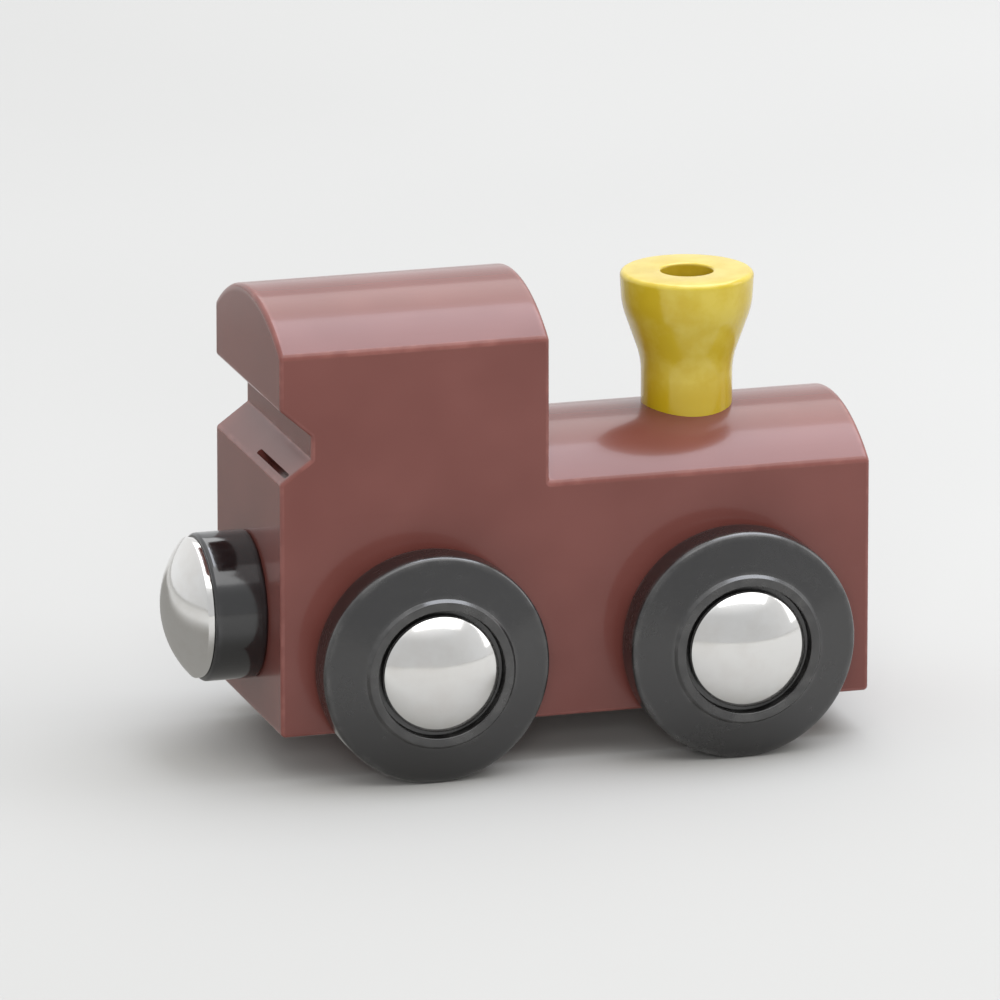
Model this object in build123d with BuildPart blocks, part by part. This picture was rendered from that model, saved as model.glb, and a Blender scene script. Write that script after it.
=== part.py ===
from build123d import *
import math
import os

# Toy train locomotive: a painted wooden block on two rolling axles, with a chimney
# and a magnetic coupler at the rear.
# Units are millimetres. +X is forward and +Z is up. Apart from one short kerf in the rear groove,
# the locomotive is symmetric about y = 0.
# The origin is on the rail plane, midway along the overall length.

# ---- body block ----
OVERALL_LENGTH = 60.1
BODY_LENGTH = 52.5
BODY_WIDTH = 20.6
BODY_BOTTOM = 3.8
CAB_LENGTH = 23.8
CAB_SIDE_HEIGHT = 33.5
BOILER_SIDE_HEIGHT = 20.7
ARCH_RISE = 3.6
EDGE_ROUND = 0.4

FRONT_X = OVERALL_LENGTH / 2
REAR_X = FRONT_X - BODY_LENGTH
CAB_FRONT_X = REAR_X + CAB_LENGTH
HALF_WIDTH = BODY_WIDTH / 2
CAB_SPRING_Z = BODY_BOTTOM + CAB_SIDE_HEIGHT
BOILER_SPRING_Z = BODY_BOTTOM + BOILER_SIDE_HEIGHT
BOILER_RIDGE_Z = BOILER_SPRING_Z + ARCH_RISE
ARCH_RADIUS = (HALF_WIDTH**2 + ARCH_RISE**2) / (2 * ARCH_RISE)

# V groove with a flat bottom, right across the rear face of the cab
NOTCH_DEPTH = 2.75
NOTCH_MOUTH = (22.4, 28.8)
NOTCH_FLOOR = (24.4, 26.4)
NOTCH_CUT_OVERRUN = 1.0

# short narrow kerf in the lower flank of the groove, on the right half
KERF_LENGTH = 9.0
KERF_WIDTH = 0.55
KERF_DEPTH = 1.5
KERF_MIDDLE_Y = -5.3
KERF_FROM_MOUTH = 0.9

# spare depth at the bottom of blind holes, and the tolerance for finding edges by place
HOLE_END_GAP = 0.3
NEAR = 0.01

# ---- axles and wheels ----
AXLE_Z = 10.0
AXLE_INSET = 12.6
AXLE_RADIUS = 1.5
BODY_BORE_RADIUS = AXLE_RADIUS + 0.06
WHEEL_BORE_RADIUS = AXLE_RADIUS + 0.06
AXLE_REACH = 6.2
AXLE_XS = {"rear": REAR_X + AXLE_INSET, "front": FRONT_X - AXLE_INSET}

# distances below are measured outwards from the side of the body
WHEEL_RADIUS = 10.0
WHEEL_INNER = 1.0
WHEEL_TREAD_OUTER = 4.3
WHEEL_LIP = 5.8
WHEEL_LIP_RADIUS = 6.35
WHEEL_LIP_FOOT = 5.45
WHEEL_LIP_FOOT_RADIUS = 6.6
WHEEL_RECESS_RADIUS = 5.6
WHEEL_RECESS_FLOOR = 4.75
WHEEL_EDGE_ROUND = 0.5
WHEEL_BACK_INNER_RADIUS = 3.2
WHEEL_BACK_OUTER_RADIUS = 8.4
WHEEL_BACK_DEPTH = 1.6

SPACER_RADIUS = 2.8
SPACER_START = 0.3
SPACER_THICKNESS = 0.4

CAP_RADIUS = 5.1
CAP_START = 5.1
CAP_RIM = 0.4
CAP_HEIGHT = 2.2

# ---- chimney ----
CHIMNEY_X = REAR_X + 39.2
CHIMNEY_HEIGHT = 11.6
CHIMNEY_TOP_Z = BOILER_RIDGE_Z + CHIMNEY_HEIGHT
CHIMNEY_TOP_RADIUS = 5.8
CHIMNEY_RIM_FOOT_RADIUS = 5.65
CHIMNEY_NECK_RADIUS = 3.95
CHIMNEY_RIM_HEIGHT = 3.0
CHIMNEY_TAPER_HEIGHT = 4.8
CHIMNEY_CURVE_RADIUS = 7.0
CHIMNEY_BORE_RADIUS = 2.25
CHIMNEY_BORE_DEPTH = 6.0
CHIMNEY_SADDLE_GAP = 0.02
CHIMNEY_COPE_ALLOWANCE = 2.0

DOWEL_RADIUS = 2.0
DOWEL_UP = 3.6
DOWEL_DOWN = 6.0
DOWEL_CHAMFER = 0.4

# ---- rear coupler; distances run rearwards from the rear face of the body ----
COUPLER_Z = BODY_BOTTOM + 9.25
HOLDER_RADIUS = 6.4
HOLDER_LENGTH = 4.6
HOLDER_FLOOR = 1.2
HOLDER_POCKET_RADIUS = 5.25
HOLDER_SPIGOT_RADIUS = 2.5
HOLDER_SPIGOT_LENGTH = 2.0
HOLDER_EDGE_ROUND = 0.35
SCREW_RADIUS = 1.4
SCREW_HEAD_RADIUS = 2.7
SCREW_HEAD_HEIGHT = 1.2
SCREW_REACH = 9.0
SCREW_TIP = 2.2
SCREW_POINT_RADIUS = 0.35
SCREW_SLOT_WIDTH = 0.6
SCREW_SLOT_DEPTH = 0.5
COUPLER_WASHER_RADIUS = 3.6
COUPLER_WASHER_THICKNESS = 0.5
MAGNET_RADIUS = 5.1
MAGNET_START = 3.2
MAGNET_THICKNESS = 2.5
POLE_CAP_RADIUS = 6.05
POLE_CAP_RIM = 0.6
POLE_CAP_HEIGHT = 3.0

os.makedirs("parts", exist_ok=True)


def save(part, node):
    part.label = node
    export_step(part, f"parts/{node}.step")


def dome_radius(base_radius, rise):
    """Sphere radius of a dome with this base radius and rise."""
    return (base_radius**2 + rise**2) / (2 * rise)


def dome_mid(base_radius, base, rise):
    """Point half way up a dome's profile, as (radius, distance)."""
    ball = dome_radius(base_radius, rise)
    half_angle = math.asin(base_radius / ball) / 2
    return (ball * math.sin(half_angle), base + rise - ball * (1 - math.cos(half_angle)))


# Body block: one piece of wood, cab and boiler in one, with its bores and the rear groove
coupler_plane = Plane(origin=(REAR_X, 0, COUPLER_Z), x_dir=(0, 1, 0), z_dir=(-1, 0, 0))
flank = Vector(NOTCH_DEPTH, 0, NOTCH_FLOOR[0] - NOTCH_MOUTH[0]).normalized()
kerf_plane = Plane(
    origin=Vector(REAR_X, KERF_MIDDLE_Y, BODY_BOTTOM + NOTCH_MOUTH[0]) + flank * KERF_FROM_MOUTH,
    x_dir=(0, 1, 0),
    z_dir=(-flank.Z, 0, flank.X),
)

with BuildPart() as body_block:
    for start_x, end_x, spring_z in (
        (REAR_X, CAB_FRONT_X, CAB_SPRING_Z),
        (CAB_FRONT_X, FRONT_X, BOILER_SPRING_Z),
    ):
        with BuildSketch(Plane.YZ.offset(start_x)):
            with BuildLine():
                Polyline(
                    (-HALF_WIDTH, spring_z),
                    (-HALF_WIDTH, BODY_BOTTOM),
                    (HALF_WIDTH, BODY_BOTTOM),
                    (HALF_WIDTH, spring_z),
                )
                ThreePointArc(
                    (HALF_WIDTH, spring_z), (0, spring_z + ARCH_RISE), (-HALF_WIDTH, spring_z)
                )
            make_face()
        extrude(amount=end_x - start_x)
    # ease the end faces and the long bottom edges
    end_edges = [
        edge
        for face in (body_block.faces().sort_by(Axis.X)[0], body_block.faces().sort_by(Axis.X)[-1])
        for edge in face.edges()
    ]
    cab_front_arch = [
        edge
        for edge in body_block.edges().filter_by(GeomType.CIRCLE)
        if abs(edge.center().X - CAB_FRONT_X) < NEAR and edge.center().Z > CAB_SPRING_Z
    ]
    bottom_edges = [
        edge
        for edge in body_block.edges().filter_by(Axis.X)
        if edge.center().Z < BODY_BOTTOM + NEAR
    ]
    fillet(end_edges + cab_front_arch + bottom_edges, radius=EDGE_ROUND)
    # rear groove
    with BuildSketch(Plane.XZ.offset(-HALF_WIDTH)):
        Polygon(
            (REAR_X, BODY_BOTTOM + NOTCH_MOUTH[0]),
            (REAR_X + NOTCH_DEPTH, BODY_BOTTOM + NOTCH_FLOOR[0]),
            (REAR_X + NOTCH_DEPTH, BODY_BOTTOM + NOTCH_FLOOR[1]),
            (REAR_X, BODY_BOTTOM + NOTCH_MOUTH[1]),
            (REAR_X - NOTCH_CUT_OVERRUN, BODY_BOTTOM + NOTCH_MOUTH[1]),
            (REAR_X - NOTCH_CUT_OVERRUN, BODY_BOTTOM + NOTCH_MOUTH[0]),
            align=None,
        )
    extrude(amount=BODY_WIDTH, mode=Mode.SUBTRACT)
    with BuildSketch(kerf_plane):
        SlotOverall(KERF_LENGTH, KERF_WIDTH)
    extrude(amount=-KERF_DEPTH, mode=Mode.SUBTRACT)
    # axle bores
    for axle_x in AXLE_XS.values():
        with BuildSketch(Plane.XZ.offset(-HALF_WIDTH)):
            with Locations((axle_x, AXLE_Z)):
                Circle(BODY_BORE_RADIUS)
        extrude(amount=BODY_WIDTH, mode=Mode.SUBTRACT)
    # dowel hole under the chimney
    with BuildSketch(Plane.XY.offset(BOILER_RIDGE_Z)):
        with Locations((CHIMNEY_X, 0)):
            Circle(DOWEL_RADIUS)
    extrude(amount=-(DOWEL_DOWN + HOLE_END_GAP), mode=Mode.SUBTRACT)
    # coupler spigot seat and screw hole
    with BuildSketch(coupler_plane):
        Circle(HOLDER_SPIGOT_RADIUS)
    extrude(amount=-HOLDER_SPIGOT_LENGTH, mode=Mode.SUBTRACT)
    with BuildSketch(coupler_plane):
        Circle(SCREW_RADIUS)
    extrude(amount=-(SCREW_REACH + HOLE_END_GAP), mode=Mode.SUBTRACT)
save(body_block.part, "body_block")

# Chimney: turned, with a wide rim, a short taper and a straight neck coped to the boiler
rim_bottom_z = CHIMNEY_TOP_Z - CHIMNEY_RIM_HEIGHT
neck_top_z = rim_bottom_z - CHIMNEY_TAPER_HEIGHT
neck_bottom_z = BOILER_RIDGE_Z - CHIMNEY_COPE_ALLOWANCE

with BuildPart() as chimney:
    with BuildSketch(Plane(origin=(CHIMNEY_X, 0, 0), x_dir=(1, 0, 0), z_dir=(0, -1, 0))):
        Polygon(
            (0, neck_bottom_z),
            (CHIMNEY_NECK_RADIUS, neck_bottom_z),
            (CHIMNEY_NECK_RADIUS, neck_top_z),
            (CHIMNEY_RIM_FOOT_RADIUS, rim_bottom_z),
            (CHIMNEY_TOP_RADIUS, CHIMNEY_TOP_Z),
            (0, CHIMNEY_TOP_Z),
            align=None,
        )
    revolve(axis=Axis((CHIMNEY_X, 0, 0), (0, 0, 1)))
    fillet(chimney.edges().group_by(Axis.Z)[-1], radius=EDGE_ROUND)
    curve_edges = [
        edge
        for edge in chimney.edges().filter_by(GeomType.CIRCLE)
        if min(abs(edge.center().Z - z) for z in (neck_top_z, rim_bottom_z)) < NEAR
    ]
    fillet(curve_edges, radius=CHIMNEY_CURVE_RADIUS)
    with BuildSketch(Plane.XY.offset(CHIMNEY_TOP_Z)):
        with Locations((CHIMNEY_X, 0)):
            Circle(CHIMNEY_BORE_RADIUS)
    extrude(amount=-CHIMNEY_BORE_DEPTH, mode=Mode.SUBTRACT)
    with BuildSketch(Plane.XY.offset(neck_bottom_z)):
        with Locations((CHIMNEY_X, 0)):
            Circle(DOWEL_RADIUS)
    extrude(amount=BOILER_RIDGE_Z + DOWEL_UP + HOLE_END_GAP - neck_bottom_z, mode=Mode.SUBTRACT)
    with BuildSketch(Plane.YZ.offset(CAB_FRONT_X)):
        with Locations((0, BOILER_RIDGE_Z - ARCH_RADIUS)):
            Circle(ARCH_RADIUS + CHIMNEY_SADDLE_GAP)
    extrude(amount=FRONT_X - CAB_FRONT_X, mode=Mode.SUBTRACT)
save(chimney.part, "chimney")

with BuildPart() as chimney_dowel:
    with BuildSketch(Plane.XY.offset(BOILER_RIDGE_Z - DOWEL_DOWN)):
        with Locations((CHIMNEY_X, 0)):
            Circle(DOWEL_RADIUS)
    extrude(amount=DOWEL_DOWN + DOWEL_UP)
    chamfer(chimney_dowel.edges().filter_by(GeomType.CIRCLE), length=DOWEL_CHAMFER)
save(chimney_dowel.part, "chimney_dowel")

# Axles, spacers, wheels and domed end caps
for end, axle_x in AXLE_XS.items():
    axle_line = Axis((axle_x, 0, AXLE_Z), (0, 1, 0))
    with BuildPart() as axle:
        with BuildSketch(Plane.XZ):
            with Locations((axle_x, AXLE_Z)):
                Circle(AXLE_RADIUS)
        extrude(amount=HALF_WIDTH + AXLE_REACH, both=True)
    save(axle.part, f"{end}_axle")

    for side, outwards in (("left", 1), ("right", -1)):
        # profiles are drawn in the plane z = AXLE_Z: (radius, distance from the body side)
        profile_plane = Plane(
            origin=(axle_x, outwards * HALF_WIDTH, AXLE_Z),
            x_dir=(1, 0, 0),
            z_dir=(0, 0, outwards),
        )

        with BuildPart() as wheel:
            with BuildSketch(profile_plane):
                Polygon(
                    (WHEEL_BORE_RADIUS, WHEEL_INNER),
                    (WHEEL_BACK_INNER_RADIUS, WHEEL_INNER),
                    (WHEEL_BACK_INNER_RADIUS, WHEEL_INNER + WHEEL_BACK_DEPTH),
                    (WHEEL_BACK_OUTER_RADIUS, WHEEL_INNER + WHEEL_BACK_DEPTH),
                    (WHEEL_BACK_OUTER_RADIUS, WHEEL_INNER),
                    (WHEEL_RADIUS, WHEEL_INNER),
                    (WHEEL_RADIUS, WHEEL_TREAD_OUTER),
                    (WHEEL_LIP_FOOT_RADIUS, WHEEL_LIP_FOOT),
                    (WHEEL_LIP_RADIUS, WHEEL_LIP),
                    (WHEEL_RECESS_RADIUS, WHEEL_LIP),
                    (WHEEL_RECESS_RADIUS, WHEEL_RECESS_FLOOR),
                    (WHEEL_BORE_RADIUS, WHEEL_RECESS_FLOOR),
                    align=None,
                )
            revolve(axis=axle_line)
            tread_edges = [
                edge
                for edge in wheel.edges().filter_by(GeomType.CIRCLE)
                if abs(edge.radius - WHEEL_RADIUS) < NEAR
            ]
            fillet(tread_edges, radius=WHEEL_EDGE_ROUND)
        save(wheel.part, f"{end}_{side}_wheel")

        with BuildPart() as spacer:
            with BuildSketch(profile_plane):
                Polygon(
                    (AXLE_RADIUS, SPACER_START),
                    (SPACER_RADIUS, SPACER_START),
                    (SPACER_RADIUS, SPACER_START + SPACER_THICKNESS),
                    (AXLE_RADIUS, SPACER_START + SPACER_THICKNESS),
                    align=None,
                )
            revolve(axis=axle_line)
        save(spacer.part, f"{end}_{side}_spacer")

        dome_base = CAP_START + CAP_RIM
        dome_rise = CAP_HEIGHT - CAP_RIM
        with BuildPart() as axle_cap:
            with BuildSketch(profile_plane):
                with BuildLine():
                    Polyline(
                        (0, dome_base + dome_rise),
                        (0, AXLE_REACH),
                        (AXLE_RADIUS, AXLE_REACH),
                        (AXLE_RADIUS, CAP_START),
                        (CAP_RADIUS, CAP_START),
                        (CAP_RADIUS, dome_base),
                    )
                    ThreePointArc(
                        (CAP_RADIUS, dome_base),
                        dome_mid(CAP_RADIUS, dome_base, dome_rise),
                        (0, dome_base + dome_rise),
                    )
                make_face()
            revolve(axis=axle_line)
        save(axle_cap.part, f"{end}_{side}_axle_cap")

# Rear coupler: holder screwed to the body, magnet, and domed pole cap over it
coupler_line = Axis((REAR_X, 0, COUPLER_Z), (-1, 0, 0))
coupler_profile = Plane(origin=(REAR_X, 0, COUPLER_Z), x_dir=(0, 1, 0), z_dir=(0, 0, 1))

with BuildPart() as coupler_holder:
    with BuildSketch(coupler_profile):
        Polygon(
            (SCREW_RADIUS, -HOLDER_SPIGOT_LENGTH),
            (HOLDER_SPIGOT_RADIUS, -HOLDER_SPIGOT_LENGTH),
            (HOLDER_SPIGOT_RADIUS, 0),
            (HOLDER_RADIUS, 0),
            (HOLDER_RADIUS, HOLDER_LENGTH),
            (HOLDER_POCKET_RADIUS, HOLDER_LENGTH),
            (HOLDER_POCKET_RADIUS, HOLDER_FLOOR),
            (SCREW_RADIUS, HOLDER_FLOOR),
            align=None,
        )
    revolve(axis=coupler_line)
    rim_edges = [
        edge
        for edge in coupler_holder.edges().filter_by(GeomType.CIRCLE)
        if abs(edge.radius - HOLDER_RADIUS) < NEAR
    ]
    fillet(rim_edges, radius=HOLDER_EDGE_ROUND)
save(coupler_holder.part, "coupler_holder")

with BuildPart() as coupler_washer:
    with BuildSketch(coupler_plane.offset(HOLDER_FLOOR)):
        Circle(COUPLER_WASHER_RADIUS)
        Circle(SCREW_RADIUS, mode=Mode.SUBTRACT)
    extrude(amount=COUPLER_WASHER_THICKNESS)
save(coupler_washer.part, "coupler_washer")

head_base = HOLDER_FLOOR + COUPLER_WASHER_THICKNESS
with BuildPart() as coupler_screw:
    with BuildSketch(coupler_plane.offset(head_base)):
        Circle(SCREW_HEAD_RADIUS)
    extrude(amount=SCREW_HEAD_HEIGHT)
    fillet(coupler_screw.edges().group_by(Axis.X)[0], radius=EDGE_ROUND)
    with BuildSketch(coupler_plane.offset(head_base)):
        Circle(SCREW_RADIUS)
    extrude(amount=-(head_base + SCREW_REACH - SCREW_TIP))
    with BuildSketch(coupler_plane.offset(SCREW_TIP - SCREW_REACH)):
        Circle(SCREW_RADIUS)
    with BuildSketch(coupler_plane.offset(-SCREW_REACH)):
        Circle(SCREW_POINT_RADIUS)
    loft()
    with BuildSketch(coupler_plane.offset(head_base + SCREW_HEAD_HEIGHT)):
        Rectangle(2 * SCREW_HEAD_RADIUS, SCREW_SLOT_WIDTH)
    extrude(amount=-SCREW_SLOT_DEPTH, mode=Mode.SUBTRACT)
save(coupler_screw.part, "coupler_screw")

with BuildPart() as coupler_magnet:
    with BuildSketch(coupler_plane.offset(MAGNET_START)):
        Circle(MAGNET_RADIUS)
    extrude(amount=MAGNET_THICKNESS)
save(coupler_magnet.part, "coupler_magnet")

pole_base = HOLDER_LENGTH + POLE_CAP_RIM
pole_rise = POLE_CAP_HEIGHT - POLE_CAP_RIM
magnet_end = MAGNET_START + MAGNET_THICKNESS
with BuildPart() as coupler_pole_cap:
    with BuildSketch(coupler_profile):
        with BuildLine():
            Polyline(
                (0, pole_base + pole_rise),
                (0, magnet_end),
                (MAGNET_RADIUS, magnet_end),
                (MAGNET_RADIUS, HOLDER_LENGTH),
                (POLE_CAP_RADIUS, HOLDER_LENGTH),
                (POLE_CAP_RADIUS, pole_base),
            )
            ThreePointArc(
                (POLE_CAP_RADIUS, pole_base),
                dome_mid(POLE_CAP_RADIUS, pole_base, pole_rise),
                (0, pole_base + pole_rise),
            )
        make_face()
    revolve(axis=coupler_line)
save(coupler_pole_cap.part, "coupler_pole_cap")
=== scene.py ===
import bmesh
import bpy
import math
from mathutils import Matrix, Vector


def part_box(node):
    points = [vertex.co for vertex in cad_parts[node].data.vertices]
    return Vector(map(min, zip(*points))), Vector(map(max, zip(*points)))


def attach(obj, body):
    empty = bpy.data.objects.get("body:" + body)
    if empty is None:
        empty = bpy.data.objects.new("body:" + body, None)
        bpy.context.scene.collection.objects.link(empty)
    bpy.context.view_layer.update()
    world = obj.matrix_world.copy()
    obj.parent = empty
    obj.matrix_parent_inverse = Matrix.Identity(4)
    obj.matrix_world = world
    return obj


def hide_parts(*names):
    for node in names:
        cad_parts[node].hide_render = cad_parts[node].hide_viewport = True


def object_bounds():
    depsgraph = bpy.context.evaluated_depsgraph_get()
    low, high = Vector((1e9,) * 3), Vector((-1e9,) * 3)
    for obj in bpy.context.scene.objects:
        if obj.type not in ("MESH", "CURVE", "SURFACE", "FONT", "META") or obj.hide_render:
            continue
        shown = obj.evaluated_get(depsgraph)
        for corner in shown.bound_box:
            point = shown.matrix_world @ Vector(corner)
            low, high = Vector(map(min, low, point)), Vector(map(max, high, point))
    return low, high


# Looks of the toy train locomotive, in metres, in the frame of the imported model.
# Visible pieces are rebuilt in mesh code on the places and sizes of their CAD nodes, with
# rounded edges and fine detail. Hidden pieces keep their CAD mesh and get a material.

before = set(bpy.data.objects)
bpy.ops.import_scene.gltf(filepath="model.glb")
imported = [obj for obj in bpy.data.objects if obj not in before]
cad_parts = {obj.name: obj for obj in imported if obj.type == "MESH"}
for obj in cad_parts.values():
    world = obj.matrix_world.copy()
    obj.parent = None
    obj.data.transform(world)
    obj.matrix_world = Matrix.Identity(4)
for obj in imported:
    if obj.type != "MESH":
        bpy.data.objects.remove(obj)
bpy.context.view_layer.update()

MM = 0.001
SUPPORT = 0.35 * MM  # from a rounded corner to the point where its edge value falls to 0
CORNER_SHARE = 0.49  # the most of a straight run that one rounded corner may take up
ON_AXIS = 1e-7  # a turned profile's point nearer to the axis than this, in metres, lies on it


# ---------------------------------------------------------------- mesh helpers

def add_object(name, mesh, body, slot, *cad_nodes):
    """A new piece that rides on a body and stands for CAD nodes."""
    piece = bpy.data.objects.new(name, mesh)
    bpy.context.scene.collection.objects.link(piece)
    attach(piece, body)
    if cad_nodes:
        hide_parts(*cad_nodes)
    return piece


def set_edge_attribute(mesh, values):
    """Per-vertex value, 1 on rounded edges and 0 on the faces between them."""
    layer = mesh.attributes.new("edge", "FLOAT", "POINT")
    layer.data.foreach_set("value", values)


def round_profile(corners, steps):
    """Polyline with rounded corners, as (point, edge value). corners are (x, y, radius), and the
    ends stay sharp."""
    out = []
    last = len(corners) - 1
    for i, (x, y, radius) in enumerate(corners):
        here = Vector((x, y))
        if radius <= 0 or i in (0, last):
            out.append((here, 0.0))
            continue
        before = Vector(corners[i - 1][:2]) - here
        after = Vector(corners[i + 1][:2]) - here
        half_turn = before.angle(after) / 2
        reach = min(
            radius / math.tan(half_turn),
            before.length * CORNER_SHARE,
            after.length * CORNER_SHARE,
        )
        real_radius = reach * math.tan(half_turn)
        start, end = here + before.normalized() * reach, here + after.normalized() * reach
        centre = here + (before.normalized() + after.normalized()).normalized() * (
            real_radius / math.sin(half_turn)
        )
        a, b = start - centre, end - centre
        sweep = a.angle(b)
        turn = 1 if a.x * b.y - a.y * b.x > 0 else -1
        for k in range(steps + 1):
            c, s = math.cos(turn * sweep * k / steps), math.sin(turn * sweep * k / steps)
            out.append((centre + Vector((a.x * c - a.y * s, a.x * s + a.y * c)), 1.0))
    return out


def rounded_mm(corners, steps):
    """Rounded profile in metres of (radius, distance, rounding) corners in mm."""
    return [(point * MM, value) for point, value in round_profile(corners, steps)]


def with_support(profile):
    """Adds points a little way off each rounded corner, where the edge value falls to 0."""
    out = profile[:1]
    for (previous, previous_value), (point, value) in zip(profile, profile[1:]):
        gap = point - previous
        if gap.length > 3 * SUPPORT:
            step = gap.normalized() * SUPPORT
            if previous_value == 1.0:
                out.append((previous + step, 0.0))
            if value == 1.0:
                out.append((point - step, 0.0))
        out.append((point, value))
    return out


def mesh_from(name, bm, edge_values=None):
    """The finished mesh of bm, with its faces turned outwards."""
    bmesh.ops.recalc_face_normals(bm, faces=bm.faces)
    mesh = bpy.data.meshes.new(name)
    bm.to_mesh(mesh)
    bm.free()
    if edge_values:
        set_edge_attribute(mesh, edge_values)
        mesh.shade_smooth()
    return mesh


def lathe(name, profile, origin, direction, segments, warp=None):
    """Mesh turned about the axis. profile is [((radius, distance), edge value)], and it runs from
    axis to axis or comes back to its first point. warp moves each point."""
    axis = Vector(direction).normalized()
    u = axis.orthogonal().normalized()
    v = axis.cross(u)
    origin = Vector(origin)
    bm = bmesh.new()
    rings, values = [], []
    for point, value in profile:
        radius, distance = point
        count = 1 if radius < ON_AXIS else segments
        ring = []
        for k in range(count):
            angle = 2 * math.pi * k / segments
            spoke = u * math.cos(angle) + v * math.sin(angle)
            place = origin + axis * distance + spoke * radius
            if warp:
                place = warp(place, distance)
            ring.append(bm.verts.new(place))
            values.append(value)
        rings.append(ring)
    for a, b in zip(rings, rings[1:]):
        for k in range(segments):
            n = (k + 1) % segments
            if len(a) == 1:
                bm.faces.new((a[0], b[n], b[k]))
            elif len(b) == 1:
                bm.faces.new((a[k], a[n], b[0]))
            else:
                bm.faces.new((a[k], a[n], b[n], b[k]))
    return mesh_from(name, bm, values)


# ---------------------------------------------------------------- material helpers

class Tree:
    """A node tree, with short calls for the nodes used here."""

    def __init__(self, tree, coordinates):
        self.tree = tree
        self.place = self.new("TexCoord").outputs[coordinates]

    def new(self, kind, inputs=None, **settings):
        node = self.tree.nodes.new("ShaderNode" + kind)
        for key, value in settings.items():
            setattr(node, key, value)
        for key, value in (inputs or {}).items():
            self.put(node.inputs[key], value)
        return node

    def put(self, socket, value):
        if isinstance(value, bpy.types.NodeSocket):
            self.tree.links.new(value, socket)
        else:
            socket.default_value = value

    def stretched(self, scale, offset=(0, 0, 0)):
        node = self.new("Mapping", {"Vector": self.place, "Scale": scale, "Location": offset})
        return node.outputs["Vector"]

    def noise(self, scale, detail=3.0, roughness=0.55, vector=None, distortion=0.0):
        node = self.new(
            "TexNoise",
            {
                "Vector": vector or self.place,
                "Scale": scale,
                "Detail": detail,
                "Roughness": roughness,
                "Distortion": distortion,
            },
        )
        return node.outputs["Fac"]

    def spread(self, value, low, high, out_low=0.0, out_high=1.0, **settings):
        limits = {"From Min": low, "From Max": high, "To Min": out_low, "To Max": out_high}
        return self.new("MapRange", {"Value": value, **limits}, **settings).outputs["Result"]

    def maths(self, operation, a, b=0.0):
        return self.new("Math", {0: a, 1: b}, operation=operation).outputs[0]

    def along(self, direction):
        """How far the place lies along the direction."""
        node = self.new("VectorMath", {0: self.place, 1: direction}, operation="DOT_PRODUCT")
        return node.outputs["Value"]

    def mix(self, amount, a, b):
        return self.new("Mix", {0: amount, 6: a, 7: b}, data_type="RGBA").outputs[2]

    def edge(self):
        return self.new("Attribute", attribute_name="edge").outputs["Fac"]

    def bump(self, height, distance, strength, under=None):
        node = self.new("Bump", {"Height": height, "Distance": distance, "Strength": strength})
        if under:
            self.put(node.inputs["Normal"], under)
        return node.outputs["Normal"]


class Nodes(Tree):
    """The node tree of a new material."""

    def __init__(self, name):
        self.material = bpy.data.materials.new(name)
        self.material.use_nodes = True
        super().__init__(self.material.node_tree, "Object")
        self.shader = self.tree.nodes["Principled BSDF"]

    def set(self, **values):
        for key, value in values.items():
            self.put(self.shader.inputs[key.replace("_", " ")], value)


def colour(*rgb):
    """Scene colour of an sRGB colour from 0 to 255."""
    parts = [c / 255 for c in rgb]
    linear = [c / 12.92 if c <= 0.04045 else ((c + 0.055) / 1.055) ** 2.4 for c in parts]
    return (*linear, 1.0)


# Noise scales are per metre. A stretched noise has them in its mapping, and its own scale is 1.

def painted_wood(name, paint, dark, light, gloss, grain_axis, specular):
    """Sprayed satin paint over sanded wood: faint grain, orange peel, thin paint on the edges."""
    grain_across, grain_along, peel_scale, blotch_scale, wear_scale = 900, 60, 1400, 90, 450
    relief = 0.005 * MM
    n = Nodes(name)
    scale = [grain_across] * 3
    scale[grain_axis] = grain_along
    grain = n.noise(1.0, 4.0, 0.6, n.stretched(scale))
    blotch = n.noise(blotch_scale, 2.0)
    peel = n.noise(peel_scale, 2.0, 0.5)
    body = n.mix(n.spread(blotch, 0.35, 0.65), paint, dark)
    body = n.mix(n.maths("MULTIPLY", n.spread(grain, 0.62, 0.78), 0.28), body, dark)
    wear = n.spread(n.noise(wear_scale, 3.0), 0.42, 0.66, 0.1, 0.45)
    worn = n.maths("MULTIPLY", n.maths("POWER", n.edge(), 2.0), wear)
    n.set(
        Base_Color=n.mix(worn, body, light),
        Roughness=n.spread(n.maths("ADD", grain, blotch), 0.7, 1.3, gloss - 0.035, gloss + 0.045),
        Normal=n.bump(peel, relief, 0.3, n.bump(grain, relief, 0.35)),
        IOR=1.5,
        Specular_IOR_Level=specular,
        Coat_Weight=0.2,
        Coat_Roughness=0.06,
    )
    return n.material


def moulded_plastic(name, base, pale, roughness, fine):
    """Moulded plastic: fine spark-eroded texture, faint scuffs, paler rubbed edges."""
    cloud_scale, texture_scale, rub_scale = 160, 5200, 600
    scuff_scale, scuff_offset = (700, 2600, 700), (3, 1, 2)
    n = Nodes(name)
    cloud = n.noise(cloud_scale, 3.0)
    scuff = n.noise(1.0, 5.0, 0.7, n.stretched(scuff_scale, scuff_offset), 0.6)
    texture = n.noise(texture_scale, 2.0, 0.5)
    rub = n.spread(n.noise(rub_scale), 0.4, 0.65, 0.1, 0.55)
    rubbed = n.maths("MULTIPLY", n.maths("POWER", n.edge(), 1.5), rub)
    tone = n.mix(n.maths("MULTIPLY", n.spread(scuff, 0.6, 0.75), 0.2), base, pale)
    low, high = roughness - 0.06, roughness + 0.08
    n.set(
        Base_Color=n.mix(rubbed, tone, pale),
        Roughness=n.spread(n.maths("ADD", cloud, scuff), 0.75, 1.25, low, high),
        Normal=n.bump(texture, fine, 0.6, n.bump(cloud, 0.03 * MM, 0.4)),
        IOR=1.5,
        Specular_IOR_Level=1.0,
    )
    return n.material


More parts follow.
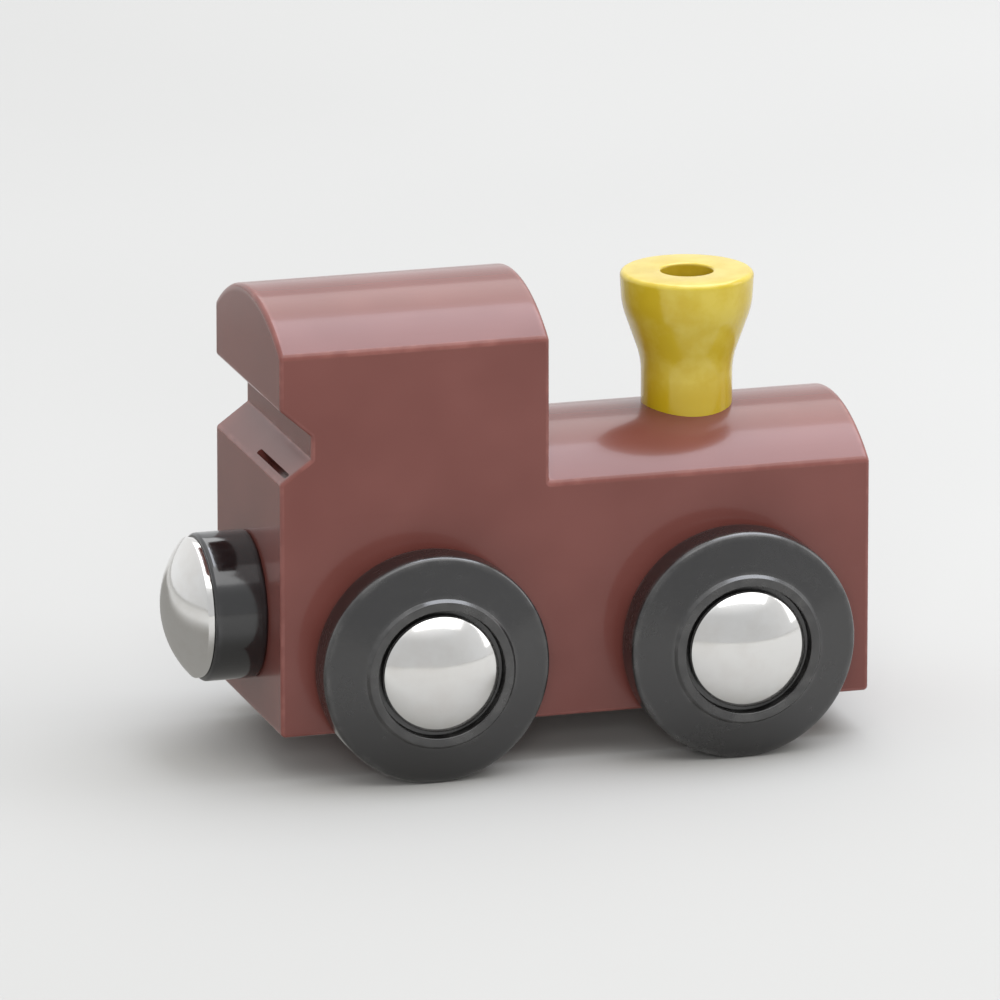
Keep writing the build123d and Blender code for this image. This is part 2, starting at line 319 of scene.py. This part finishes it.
def bright_metal(name, base, tint, roughness, scratch=0.002 * MM):
    """Polished metal with faint clouding, and fine scratches along X and along Z."""
    cloud_scale, scratch_across, scratch_along = 380, 5200, 300
    n = Nodes(name)
    cloud = n.noise(cloud_scale, 3.0)
    lines = [
        n.spread(n.noise(1.0, 2.0, 0.5, n.stretched(scale, offset), 0.8), 0.66, 0.72)
        for scale, offset in (
            ((scratch_along, scratch_across, scratch_across), (1, 4, 2)),
            ((scratch_across, scratch_across, scratch_along), (5, 2, 7)),
        )
    ]
    lines = n.maths("MAXIMUM", *lines)
    clouded = n.spread(cloud, 0.35, 0.7, roughness, roughness * 1.7)
    n.set(
        Base_Color=n.mix(n.spread(cloud, 0.4, 0.65, 0.0, 0.6), base, tint),
        Metallic=1.0,
        Roughness=n.maths("ADD", clouded, n.maths("MULTIPLY", lines, 0.06)),
        Normal=n.bump(n.maths("ADD", cloud, n.maths("MULTIPLY", lines, -0.4)), scratch, 0.4),
    )
    return n.material


def bare_wood(name, early, late, pore_colour):
    """Unpainted beech: growth rings and short pores along Z."""
    ring_scale, pore_scale, pore_offset = (1500, 1500, 90), (4200, 4200, 260), (2, 3, 1)
    n = Nodes(name)
    rings = n.noise(1.0, 5.0, 0.6, n.stretched(ring_scale), 0.4)
    pores = n.noise(1.0, 2.0, 0.5, n.stretched(pore_scale, pore_offset))
    tone = n.mix(n.spread(rings, 0.35, 0.7), early, late)
    pore_share = n.maths("MULTIPLY", n.spread(pores, 0.6, 0.7), 0.5)
    n.set(
        Base_Color=n.mix(pore_share, tone, pore_colour),
        Roughness=n.spread(rings, 0.3, 0.7, 0.55, 0.72),
        Normal=n.bump(rings, 0.02 * MM, 0.6),
    )
    return n.material


# ---------------------------------------------------------------- materials

maroon = painted_wood(
    "maroon_paint",
    paint=colour(114, 66, 60),
    dark=colour(106, 59, 53),
    light=colour(146, 94, 87),
    gloss=0.19,
    grain_axis=0,
    specular=0.32,
)
yellow = painted_wood(
    "yellow_paint",
    paint=colour(188, 165, 30),
    dark=colour(180, 152, 22),
    light=colour(208, 191, 88),
    gloss=0.16,
    grain_axis=2,
    specular=0.5,
)
# Darker, duller yellow for the inside of the chimney's bore: painted shade of the deep recess,
# over the same yellow paint.
shaded_bore_yellow = painted_wood(
    "yellow_bore_painted_shade",
    paint=colour(168, 142, 18),
    dark=colour(152, 122, 14),
    light=colour(196, 172, 60),
    gloss=0.3,
    grain_axis=2,
    specular=0.4,
)
wheel_plastic = moulded_plastic(
    "wheel_plastic", colour(22, 21, 21), colour(66, 65, 64), roughness=0.22, fine=0.006 * MM
)
holder_plastic = moulded_plastic(
    "holder_plastic", colour(15, 15, 16), colour(48, 48, 50), roughness=0.11, fine=0.002 * MM
)
chrome = bright_metal("bright_cap", colour(231, 230, 228), colour(223, 220, 216), 0.085)
steel = bright_metal(
    "axle_steel", colour(190, 190, 192), colour(168, 166, 162), 0.24, 0.006 * MM
)
zinc = bright_metal(
    "zinc_steel", colour(196, 196, 190), colour(172, 170, 160), 0.28, 0.006 * MM
)
nickel = bright_metal(
    "magnet_nickel", colour(176, 175, 170), colour(150, 148, 142), 0.22, 0.004 * MM
)
beech = bare_wood("bare_wood", colour(214, 180, 132), colour(182, 142, 94), colour(130, 96, 60))

# ---------------------------------------------------------------- body block

body_low, body_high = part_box("body_block")
HALF_WIDTH = body_high.y
REAR_X, FRONT_X = body_low.x, body_high.x
BOTTOM_Z = body_low.z
ARCH_RISE = 3.6 * MM
ARCH_RADIUS = (HALF_WIDTH**2 + ARCH_RISE**2) / (2 * ARCH_RISE)
CAB_FRONT_X = REAR_X + 23.8 * MM
CAB_SPRING_Z = BOTTOM_Z + 33.5 * MM
BOILER_SPRING_Z = BOTTOM_Z + 20.7 * MM
GROOVE_DEPTH = 2.75 * MM
GROOVE_FOOT_Z = BOTTOM_Z + 22.4 * MM
GROOVE_FLAT_LOW_Z = GROOVE_FOOT_Z + 2.0 * MM
GROOVE_FLAT_HIGH_Z = BOTTOM_Z + 26.4 * MM
GROOVE_TOP_Z = BOTTOM_Z + 28.8 * MM
ROUND = 0.4 * MM
INNER_ROUND = 0.15 * MM
SIDE_ROUND = 0.28 * MM
SIDE_SUPPORT = 0.38 * MM
OUTLINE_STEPS, SIDE_STEPS, ARCH_STEPS = 5, 4, 60
LONG_GAP = 1.2 * MM  # a run of the outline longer than this gets support points at its ends


def body_outline():
    """Side outline with rounded corners as (point, edge value, arched), clockwise from the rear
    foot. An arched point is on top of the cab or boiler, and rises towards the middle."""
    corners = [
        (REAR_X, BOTTOM_Z, ROUND, False),
        (REAR_X, GROOVE_FOOT_Z, ROUND, False),
        (REAR_X + GROOVE_DEPTH, GROOVE_FLAT_LOW_Z, INNER_ROUND, False),
        (REAR_X + GROOVE_DEPTH, GROOVE_FLAT_HIGH_Z, INNER_ROUND, False),
        (REAR_X, GROOVE_TOP_Z, ROUND, False),
        (REAR_X, CAB_SPRING_Z, ROUND, True),
        (CAB_FRONT_X, CAB_SPRING_Z, ROUND, True),
        (CAB_FRONT_X, BOILER_SPRING_Z, INNER_ROUND, True),
        (FRONT_X, BOILER_SPRING_Z, ROUND, True),
        (FRONT_X, BOTTOM_Z, ROUND, False),
    ]
    count = len(corners)
    points = []
    for i, (x, z, radius, arched) in enumerate(corners):
        ring = [corners[i - 1][:3], (x, z, radius), corners[(i + 1) % count][:3]]
        for point, value in round_profile(ring, OUTLINE_STEPS)[1:-1]:
            points.append((point, value, arched))
    out = []
    for i, (point, value, arched) in enumerate(points):
        out.append((point, value, arched))
        following, _, next_arched = points[(i + 1) % len(points)]
        gap = following - point
        if gap.length > LONG_GAP:
            step = gap.normalized() * SUPPORT
            out.append((point + step, 0.0, arched))
            out.append((following - step, 0.0, next_arched))
    return out


def body_mesh():
    """The block, as rows of the outline from its left side to its right. Near each side the row
    draws in, which rounds the side's edges, and the arches rise towards the middle."""
    outline = body_outline()
    count = len(outline)

    def inward(i):
        """Unit normal of the outline at point i, pointing into the wood."""
        a, b = outline[i - 1][0], outline[(i + 1) % count][0]
        along = (b - a).normalized()
        return Vector((along.y, -along.x))

    normals = [inward(i) for i in range(count)]
    # each station of a row is (distance from the middle, how far it draws in, edge value)
    rounding = []
    for k in range(SIDE_STEPS + 1):
        angle = math.pi / 2 * k / SIDE_STEPS
        y = HALF_WIDTH - SIDE_ROUND + SIDE_ROUND * math.cos(angle)
        rounding.append((y, SIDE_ROUND * (1 - math.sin(angle)), 1.0))
    inner_y = HALF_WIDTH - SIDE_SUPPORT
    left = [(HALF_WIDTH, SIDE_SUPPORT, 0.0), *rounding, (inner_y, 0.0, 0.0)]
    right = [(-y, inset, value) for y, inset, value in reversed(left)]
    arch = [
        (inner_y * math.cos(math.pi * k / ARCH_STEPS), 0.0, 0.0) for k in range(1, ARCH_STEPS)
    ]
    stations = left + arch + right

    bm = bmesh.new()
    values = []
    rows = []
    for station, (y, inset, side_value) in enumerate(stations):
        rise = math.sqrt(ARCH_RADIUS**2 - y * y) - (ARCH_RADIUS - ARCH_RISE)
        flat_side = station in (0, len(stations) - 1)
        row = []
        for (point, value, arched), normal in zip(outline, normals):
            place = point + normal * inset
            lift = rise if arched else 0.0
            row.append(bm.verts.new((place.x, y, place.y + lift)))
            values.append(0.0 if flat_side else max(value, side_value))
        rows.append(row)
    for a, b in zip(rows, rows[1:]):
        for i in range(count):
            n = (i + 1) % count
            bm.faces.new((a[i], a[n], b[n], b[i]))
    bm.faces.new(rows[0])
    bm.faces.new(list(reversed(rows[-1])))
    return mesh_from("body_block_painted", bm, values)


GROOVE_FOOT = Vector((REAR_X, 0, GROOVE_FOOT_Z))
FLANK = Vector((GROOVE_DEPTH, 0, GROOVE_FLAT_LOW_Z - GROOVE_FOOT_Z)).normalized()
KERF_LENGTH, KERF_WIDTH, KERF_DEPTH = 9.0 * MM, 0.55 * MM, 1.5 * MM
KERF_MIDDLE_Y, KERF_FROM_FOOT = -5.3 * MM, 0.9 * MM
KERF_END_STEPS = 8


def kerf_cutter():
    """Round-ended blade that cuts the short kerf into the lower flank of the groove."""
    across = Vector((-FLANK.z, 0, FLANK.x))
    middle = GROOVE_FOOT + FLANK * KERF_FROM_FOOT + Vector((0, KERF_MIDDLE_Y, 0))
    half_width = KERF_WIDTH / 2
    outline = []
    for end in (1, -1):
        for k in range(KERF_END_STEPS + 1):
            angle = math.pi * k / KERF_END_STEPS
            along = end * (KERF_LENGTH / 2 - half_width + half_width * math.sin(angle))
            outline.append(FLANK * (end * half_width * math.cos(angle)) + Vector((0, along, 0)))
    bm = bmesh.new()
    rings = [
        [bm.verts.new(middle + point + across * height) for point in outline]
        for height in (-KERF_DEPTH, KERF_DEPTH)
    ]
    count = len(outline)
    for k in range(count):
        n = (k + 1) % count
        bm.faces.new((rings[0][k], rings[0][n], rings[1][n], rings[1][k]))
    bm.faces.new(rings[0])
    bm.faces.new(list(reversed(rings[1])))
    return mesh_from("kerf_cutter", bm)


def cut(mesh, cutter_mesh):
    """The mesh with the cutter taken away from it."""
    blank = bpy.data.objects.new("blank", mesh)
    cutter = bpy.data.objects.new("cutter", cutter_mesh)
    for item in (blank, cutter):
        bpy.context.scene.collection.objects.link(item)
    modifier = blank.modifiers.new("cut", "BOOLEAN")
    modifier.operation = "DIFFERENCE"
    modifier.solver = "EXACT"
    modifier.object = cutter
    depsgraph = bpy.context.evaluated_depsgraph_get()
    shape = bpy.data.meshes.new_from_object(blank.evaluated_get(depsgraph))
    for item in (blank, cutter):
        bpy.data.objects.remove(item)
    return shape


body_piece = add_object(
    "body_block_painted", cut(body_mesh(), kerf_cutter()), "locomotive", "body_paint", "body_block"
)
body_piece.data.materials.clear()
body_piece.data.materials.append(maroon)
body_piece.modifiers.new("normals", "WEIGHTED_NORMAL").keep_sharp = True

# ---------------------------------------------------------------- chimney

chimney_low, chimney_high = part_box("chimney")
chimney_x = (chimney_low.x + chimney_high.x) / 2
RIDGE_Z = BOILER_SPRING_Z + ARCH_RISE
CHIMNEY_SEGMENTS = 128
CHIMNEY_STEPS = 8
# In mm. Distances are from the ridge of the boiler.
LIP_RADIUS, LIP_LOW_RADIUS, FOOT_RADIUS = 5.8, 5.65, 3.95
BORE_RADIUS, DOWEL_HOLE_RADIUS = 2.25, 2.05
BORE_FLOOR, CHIMNEY_TOP, LIP_LOW, NECK_TOP, FOOT_TOP = 5.6, 11.6, 8.6, 3.8, 0.6
FOOT_EDGE, FOOT_FACE = -0.01, -0.03
DOWEL_HOLE_TOP = 3.9
BORE_LIMIT = 2.3 * MM  # faces nearer to the axis than this are the bore's


def on_boiler(place, distance):
    """Brings the foot of the chimney down on to the arch of the boiler."""
    if distance < 0.0:
        sag = ARCH_RADIUS - math.sqrt(ARCH_RADIUS**2 - place.y**2)
        return Vector((place.x, place.y, RIDGE_Z - sag + distance))
    return place


chimney_profile = rounded_mm(
    (
        (0.0, BORE_FLOOR, 0),
        (BORE_RADIUS, BORE_FLOOR, 0.2),
        (BORE_RADIUS, CHIMNEY_TOP, 0.25),
        (LIP_RADIUS, CHIMNEY_TOP, 0.45),
        (LIP_LOW_RADIUS, LIP_LOW, 7.0),
        (FOOT_RADIUS, NECK_TOP, 7.0),
        (FOOT_RADIUS, FOOT_TOP, 0),
    ),
    CHIMNEY_STEPS,
)
# the foot on the boiler, then the blind hole of the dowel
chimney_profile += [
    (Vector(corner) * MM, 0.0)
    for corner in (
        (FOOT_RADIUS, FOOT_EDGE),
        (FOOT_RADIUS, FOOT_FACE),
        (DOWEL_HOLE_RADIUS, FOOT_FACE),
        (DOWEL_HOLE_RADIUS, DOWEL_HOLE_TOP),
        (0.0, DOWEL_HOLE_TOP),
    )
]
chimney_mesh = lathe(
    "chimney_painted",
    chimney_profile,
    (chimney_x, 0, RIDGE_Z),
    (0, 0, 1),
    CHIMNEY_SEGMENTS,
    on_boiler,
)
chimney_piece = add_object(
    "chimney_painted", chimney_mesh, "locomotive", "chimney_paint", "chimney"
)
chimney_piece.data.materials.append(yellow)
chimney_piece.data.materials.append(shaded_bore_yellow)
# The bore's faces take the darker yellow, painted shade of the recess.
for face in chimney_piece.data.polygons:
    if math.hypot(face.center.x - chimney_x, face.center.y) < BORE_LIMIT:
        face.material_index = 1

# ---------------------------------------------------------------- wheels and axle caps

# In mm. Distances are from the side of the body outwards.
WHEEL_BORE = 1.56
WHEEL_BACK, BACK_RECESS_RADIUS, BACK_RECESS = 1.0, 8.4, 2.6
BOSS_RADIUS = 3.2
TREAD_RADIUS, TREAD_OUTER = 10.0, 4.3
BEAD_RADIUS, BEAD_FOOT, BEAD_TOP_RADIUS, BEAD_TOP = 6.6, 5.45, 6.35, 5.8
HUB_RADIUS, HUB_FLOOR = 5.6, 4.75
CAP_RADIUS, CAP_BASE, CAP_RIM, CAP_RISE = 5.1, 5.1, 0.4, 2.2
CAP_POCKET_RADIUS, CAP_POCKET_END = 1.5, 6.2
WHEEL_SEGMENTS, WHEEL_STEPS = 144, 4
CAP_SEGMENTS, CAP_STEPS = 96, 3
CAP_DOME_STEPS, POLE_DOME_STEPS = 16, 20

wheel_corners = (
    (WHEEL_BORE, HUB_FLOOR, 0),
    (WHEEL_BORE, WHEEL_BACK, 0.15),
    (BOSS_RADIUS, WHEEL_BACK, 0.15),
    (BOSS_RADIUS, BACK_RECESS, 0.15),
    (BACK_RECESS_RADIUS, BACK_RECESS, 0.2),
    (BACK_RECESS_RADIUS, WHEEL_BACK, 0.2),
    (TREAD_RADIUS, WHEEL_BACK, 0.5),
    (TREAD_RADIUS, TREAD_OUTER, 0.5),
    (BEAD_RADIUS, BEAD_FOOT, 0.1),
    (BEAD_TOP_RADIUS, BEAD_TOP, 0.12),
    (HUB_RADIUS, BEAD_TOP, 0.15),
    (HUB_RADIUS, HUB_FLOOR, 0.12),
    (WHEEL_BORE, HUB_FLOOR, 0),
)
wheel_profile = with_support(rounded_mm(wheel_corners, WHEEL_STEPS))


def dome_profile(radius, base, rim, rise, pocket_radius, pocket_end, steps):
    """Profile of a domed cap, sizes in mm, from the axis inside its pocket to the axis at its
    apex. The rim is the straight part of its edge, and the rise includes it."""
    dome_rise = rise - rim
    ball = (radius**2 + dome_rise**2) / (2 * dome_rise)
    half = math.asin(radius / ball)
    angles = [half * (1 - k / steps) for k in range(1, steps + 1)]
    dome = [
        (ball * math.sin(angle), base + rise - ball * (1 - math.cos(angle))) for angle in angles
    ]
    corners = [
        (0, pocket_end, 0),
        (pocket_radius, pocket_end, 0.1),
        (pocket_radius, base, 0.1),
        (radius, base, 0.1),
        (radius, base + rim, 0.12),
        (*dome[0], 0),
    ]
    return rounded_mm(corners, CAP_STEPS) + [(Vector(point) * MM, 0.0) for point in dome[1:]]


cap_profile = dome_profile(
    CAP_RADIUS, CAP_BASE, CAP_RIM, CAP_RISE, CAP_POCKET_RADIUS, CAP_POCKET_END, CAP_DOME_STEPS
)

for end in ("front", "rear"):
    axle_low, axle_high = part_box(f"{end}_axle")
    axle_centre = (axle_low + axle_high) / 2
    for side, outwards in (("left", 1), ("right", -1)):
        origin = (axle_centre.x, outwards * HALF_WIDTH, axle_centre.z)
        direction = (0, outwards, 0)
        wheel_name = f"{end}_{side}_wheel"
        wheel = add_object(
            wheel_name + "_moulded",
            lathe(wheel_name + "_moulded", wheel_profile, origin, direction, WHEEL_SEGMENTS),
            wheel_name + "_set",
            "wheel_plastic",
            wheel_name,
        )
        wheel.data.materials.append(wheel_plastic)
        cap_name = f"{end}_{side}_axle_cap"
        cap = add_object(
            cap_name + "_domed",
            lathe(cap_name + "_domed", cap_profile, origin, direction, CAP_SEGMENTS),
            f"{end}_axle_set",
            "polished_cap",
            cap_name,
        )
        cap.data.materials.append(chrome)

# ---------------------------------------------------------------- coupler

holder_low, holder_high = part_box("coupler_holder")
coupler_origin = (REAR_X, 0, (holder_low.z + holder_high.z) / 2)
REARWARDS = (-1, 0, 0)
COUPLER_SEGMENTS, HOLDER_STEPS = 128, 5
# In mm. Distances are from the rear face of the body rearwards.
SCREW_HOLE_RADIUS, CUP_FLOOR, CUP_RADIUS = 1.4, 1.2, 5.25
HOLDER_RADIUS, HOLDER_LENGTH = 6.4, 4.6
HOLDER_BACK = 0.05  # by the screw hole
POLE_RADIUS, POLE_RIM, POLE_RISE = 6.05, 0.6, 3.0
POLE_POCKET_RADIUS, POLE_POCKET_END = 5.1, 5.7

holder_corners = (
    (SCREW_HOLE_RADIUS, CUP_FLOOR, 0),
    (SCREW_HOLE_RADIUS, HOLDER_BACK, 0),
    (HOLDER_RADIUS, 0.0, 0.3),
    (HOLDER_RADIUS, HOLDER_LENGTH, 0.35),
    (CUP_RADIUS, HOLDER_LENGTH, 0.15),
    (CUP_RADIUS, CUP_FLOOR, 0.2),
    (SCREW_HOLE_RADIUS, CUP_FLOOR, 0),
)
holder_profile = with_support(rounded_mm(holder_corners, HOLDER_STEPS))
holder = add_object(
    "coupler_holder_moulded",
    lathe(
        "coupler_holder_moulded", holder_profile, coupler_origin, REARWARDS, COUPLER_SEGMENTS
    ),
    "locomotive",
    "black_plastic",
    "coupler_holder",
)
holder.data.materials.append(holder_plastic)
pole_profile = dome_profile(
    POLE_RADIUS,
    HOLDER_LENGTH,
    POLE_RIM,
    POLE_RISE,
    POLE_POCKET_RADIUS,
    POLE_POCKET_END,
    POLE_DOME_STEPS,
)
pole = add_object(
    "coupler_pole_cap_domed",
    lathe("coupler_pole_cap_domed", pole_profile, coupler_origin, REARWARDS, COUPLER_SEGMENTS),
    "locomotive",
    "polished_cap",
    "coupler_pole_cap",
)
pole.data.materials.append(chrome)

# ---------------------------------------------------------------- pieces that keep their CAD mesh

CAD_MATERIALS = {
    "chimney_dowel": beech,
    "coupler_magnet": nickel,
    "coupler_screw": zinc,
    "coupler_washer": zinc,
    "front_axle": steel,
    "rear_axle": steel,
}
for end in ("front", "rear"):
    for side in ("left", "right"):
        CAD_MATERIALS[f"{end}_{side}_spacer"] = wheel_plastic
for node, material in CAD_MATERIALS.items():
    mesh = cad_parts[node].data
    mesh.materials.clear()
    mesh.materials.append(material)

# ---------------------------------------------------------------- floor, lights and camera

low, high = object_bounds()
centre = (Vector(low) + Vector(high)) / 2


def stage_sheet(name, corners, height, material):
    """Flat sheet at a height, with corners as (x, y). It isn't part of the object."""
    mesh = bpy.data.meshes.new(name)
    mesh.from_pydata([(x, y, 0) for x, y in corners], [], [(0, 1, 2, 3)])
    mesh.materials.append(material)
    sheet = bpy.data.objects.new(name, mesh)
    bpy.context.scene.collection.objects.link(sheet)
    sheet.location.z = height
    return sheet


def floor_material():
    cloud_scale, speckle_scale = 6.0, 900
    n = Nodes("pale_floor")
    cloud = n.noise(cloud_scale, 2.0)
    n.set(
        Base_Color=n.mix(n.spread(cloud, 0.4, 0.6), colour(177, 176, 173), colour(175, 174, 171)),
        Roughness=n.spread(n.noise(speckle_scale, 2.0), 0.3, 0.7, 0.5, 0.62),
        Specular_IOR_Level=0.0,
    )
    return n.material


FLOOR_REACH = 4.0
stage_sheet(
    "floor",
    [(x * FLOOR_REACH, y * FLOOR_REACH) for x, y in ((-1, -1), (1, -1), (1, 1), (-1, 1))],
    low[2],
    floor_material(),
)

# The card's edges as seen from the middle of the body's rear face, in mm along a direction: past
# the first distance there is nothing of the card, and from the second on all of it.
CARD_ALONG = Vector((-0.285, 0.958, 0)).normalized()
CARD_ASIDE = Vector((CARD_ALONG.y, -CARD_ALONG.x, 0))
CARD_FADES = (
    (CARD_ASIDE, 24, 6),
    (CARD_ASIDE, -75, -30),
    (CARD_ALONG, -30, -5),
    (CARD_ALONG, 190, 140),
)
CARD_CORNERS = ((-150, -60), (40, -60), (40, 220), (-150, 220))
CARD_LIFT = 0.2 * MM


def card_material():
    n = Nodes("dim_card")
    start = Vector((REAR_X, 0, 0))
    mask = 1.0
    for direction, clear, full in CARD_FADES:
        zero = start.dot(direction)
        fade = n.spread(
            n.along(direction),
            zero + clear * MM,
            zero + full * MM,
            interpolation_type="SMOOTHSTEP",
        )
        mask = n.maths("MULTIPLY", fade, mask)
    n.set(
        Base_Color=(0, 0, 0, 1),
        Specular_IOR_Level=0.0,
        Emission_Color=(0.34, 0.335, 0.32, 1),
        Emission_Strength=1.0,
        Alpha=mask,
    )
    return n.material


def dim_card():
    """Soft-edged card just over the floor behind the coupler. Only mirror reflections show it: it
    keeps the rear face and the coupler from mirroring the bare white floor."""
    corners = [(x * MM, y * MM) for x, y in CARD_CORNERS]
    card = stage_sheet("dim_card", corners, low[2] + CARD_LIFT, card_material())
    for ray in ("camera", "diffuse", "transmission", "volume_scatter", "shadow"):
        setattr(card, "visible_" + ray, False)


dim_card()


def softbox(name, place, target, size_x, size_y, power, tint=(1, 1, 1)):
    """Rectangular light at a place, aimed at a target. Power is in watts."""
    light = bpy.data.lights.new(name, "AREA")
    light.shape = "RECTANGLE"
    light.size, light.size_y = size_x, size_y
    light.energy = power
    light.color = tint
    lamp = bpy.data.objects.new(name, light)
    bpy.context.scene.collection.objects.link(lamp)
    lamp.location = place
    lamp.rotation_euler = (Vector(target) - Vector(place)).to_track_quat("-Z", "Y").to_euler()
    return lamp


CEILING = 0.6
COOL_WHITE = (0.93, 0.97, 1.08)


def ceiling_softbox(name, x, y, *settings):
    """Softbox above the scene, aimed straight down."""
    return softbox(name, (x, y, CEILING), (x, y, 0.0), *settings)


ceiling_softbox("overhead", 0.25, 0.085, 0.55, 0.43, 2.9, COOL_WHITE)
ceiling_softbox("front_high", 0.14, -0.345, 0.85, 0.43, 1.5)
fill = softbox("front_fill", (-0.28, -0.95, 0.35), centre, 0.3, 0.3, 3.2)
fill.visible_glossy = False
ceiling_softbox("behind", 0.25, 0.575, 0.55, 0.55, 1.4)
softbox("right_side", (0.7, -0.1, 0.3), centre, 0.3, 0.4, 0.6)


def studio_world():
    """Pale surroundings, dimmer towards the viewer and to the rear of the locomotive, and
    brighter overhead."""
    brightest = Vector((0.25, 0.75, 0.3)).normalized()
    world = bpy.data.worlds.new("studio")
    world.use_nodes = True
    n = Tree(world.node_tree, "Generated")
    parts = n.new("SeparateXYZ", {0: n.place})
    upwards = n.spread(parts.outputs["Z"], 0.5, 0.8, 0.0, 0.38, interpolation_type="SMOOTHSTEP")
    strength = n.spread(n.along(brightest), -0.6, 0.75, 0.65, 0.98)
    background = world.node_tree.nodes["Background"]
    n.put(background.inputs["Strength"], n.maths("ADD", strength, upwards))
    n.put(background.inputs["Color"], (0.98, 0.99, 1.0, 1))
    return world


bpy.context.scene.world = studio_world()

AZIMUTH, ELEVATION, DISTANCE = math.radians(-16.5), math.radians(15.3), 1.2
FRAME_WIDTH = 0.086  # what the picture's width covers at the object's centre
SENSOR_WIDTH = 36.0
camera_data = bpy.data.cameras.new("camera")
camera_data.sensor_width = SENSOR_WIDTH
camera_data.lens = DISTANCE * SENSOR_WIDTH / FRAME_WIDTH
camera_data.clip_start, camera_data.clip_end = 0.05, 20.0
camera = bpy.data.objects.new("camera", camera_data)
bpy.context.scene.collection.objects.link(camera)
bpy.context.scene.camera = camera
back = Vector((
    math.sin(AZIMUTH) * math.cos(ELEVATION),
    -math.cos(AZIMUTH) * math.cos(ELEVATION),
    math.sin(ELEVATION),
))
camera.location = centre + back * DISTANCE
camera.rotation_euler = (-back).to_track_quat("-Z", "Y").to_euler()

bpy.context.scene.view_settings.view_transform = "Standard"
